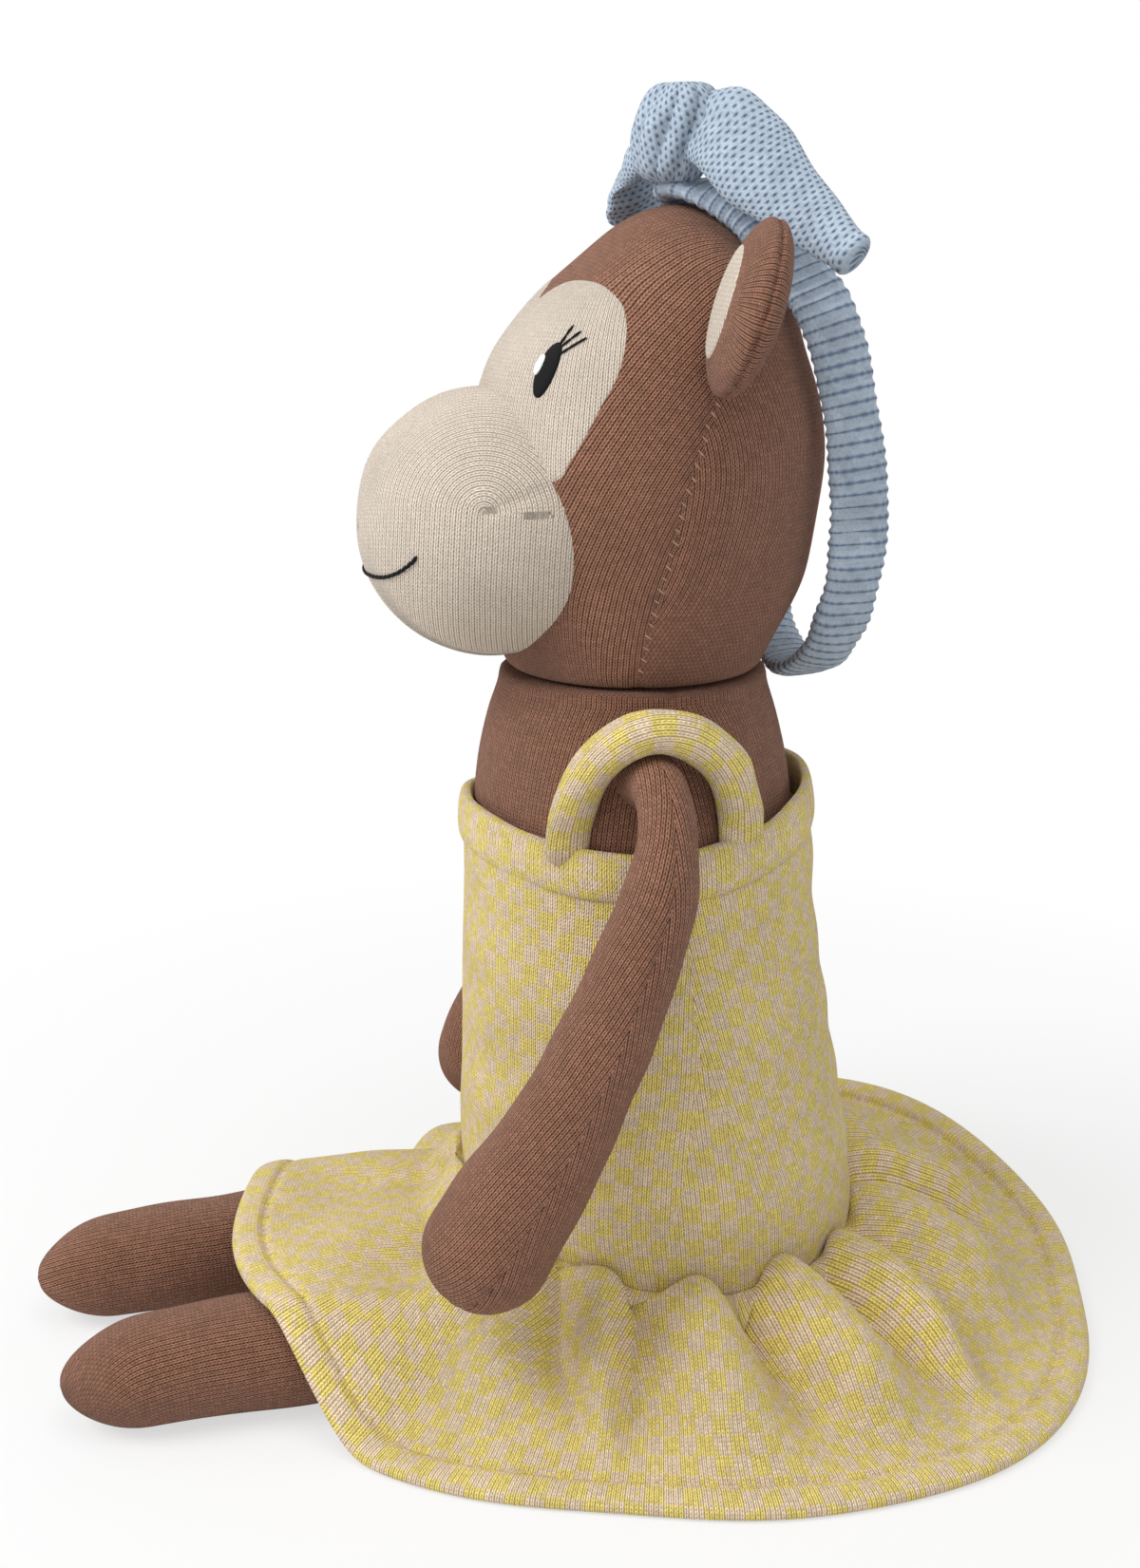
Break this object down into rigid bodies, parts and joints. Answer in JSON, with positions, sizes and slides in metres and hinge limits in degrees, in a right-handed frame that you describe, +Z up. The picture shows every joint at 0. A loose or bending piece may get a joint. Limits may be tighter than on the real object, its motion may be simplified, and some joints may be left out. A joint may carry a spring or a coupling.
{
  "type": "knitted monkey doll",
  "caption": "Stuffed knitted monkey doll that sits, with a pale muzzle, turning head, swinging limbs, a gathered dress and a slip-off bow headband.",
  "frame": {"origin": "middle of the flat seat, on the surface that the doll sits on", "axes": "+Z up; the doll faces -Y, and its own left side is +X"},
  "size_m": [0.2444, 0.3257, 0.3619],
  "materials": {
    "brown_knit": "fine brown stockinette knit over stuffing, matt, with a light fuzz",
    "cream_knit": "fine cream stockinette knit, matt",
    "yellow_jacquard": "jacquard knit of small yellow and beige-pink checks, matt",
    "blue_knit": "soft pale blue garter-stitch knit, matt"
  },
  "bodies": {
    "torso_and_dress": {"torso": "brown_knit", "dress_bodice": "yellow_jacquard", "neckline_band": "yellow_jacquard", "skirt": "yellow_jacquard", "strap_left": "yellow_jacquard", "strap_right": "yellow_jacquard"},
    "head": {"head": "brown_knit", "muzzle": "cream_knit", "face_patch": "cream_knit", "ear_left": "brown_knit", "ear_right": "brown_knit", "ear_lining_left": "cream_knit", "ear_lining_right": "cream_knit"},
    "headdress": {"headband": "blue_knit", "bow_knot": "blue_knit", "bow_loop_left": "blue_knit", "bow_loop_right": "blue_knit"},
    "arm_left": {"arm_left": "brown_knit"},
    "arm_right": {"arm_right": "brown_knit"},
    "leg_left": {"leg_left": "brown_knit"},
    "leg_right": {"leg_right": "brown_knit"}
  },
  "joints": [
    {"name": "head_turn", "type": "hinge", "parent": "torso_and_dress", "child": "head", "pos_m": [0, -0.012, 0.204], "axis": [0, 0, 1], "range_deg": [-20, 20], "stiffness_Nm_per_rad": 0.02},
    {"name": "headdress_pull_off", "type": "slide", "parent": "head", "child": "headdress", "axis": [0, 0.9397, 0.342], "range_m": [0, 0.12]},
    {"name": "arm_left_swing", "type": "hinge", "parent": "torso_and_dress", "child": "arm_left", "pos_m": [0.0445, -0.02, 0.181], "axis": [-1, 0, 0], "range_deg": [0, 130]},
    {"name": "arm_right_swing", "type": "hinge", "parent": "torso_and_dress", "child": "arm_right", "pos_m": [-0.0445, -0.02, 0.181], "axis": [-1, 0, 0], "range_deg": [0, 145]},
    {"name": "leg_left_swing", "type": "hinge", "parent": "torso_and_dress", "child": "leg_left", "pos_m": [0.03, -0.0565, 0.016], "axis": [1, 0, 0], "range_deg": [0, 90]},
    {"name": "leg_right_swing", "type": "hinge", "parent": "torso_and_dress", "child": "leg_right", "pos_m": [-0.03, -0.0565, 0.016], "axis": [1, 0, 0], "range_deg": [0, 90]}
  ]
}
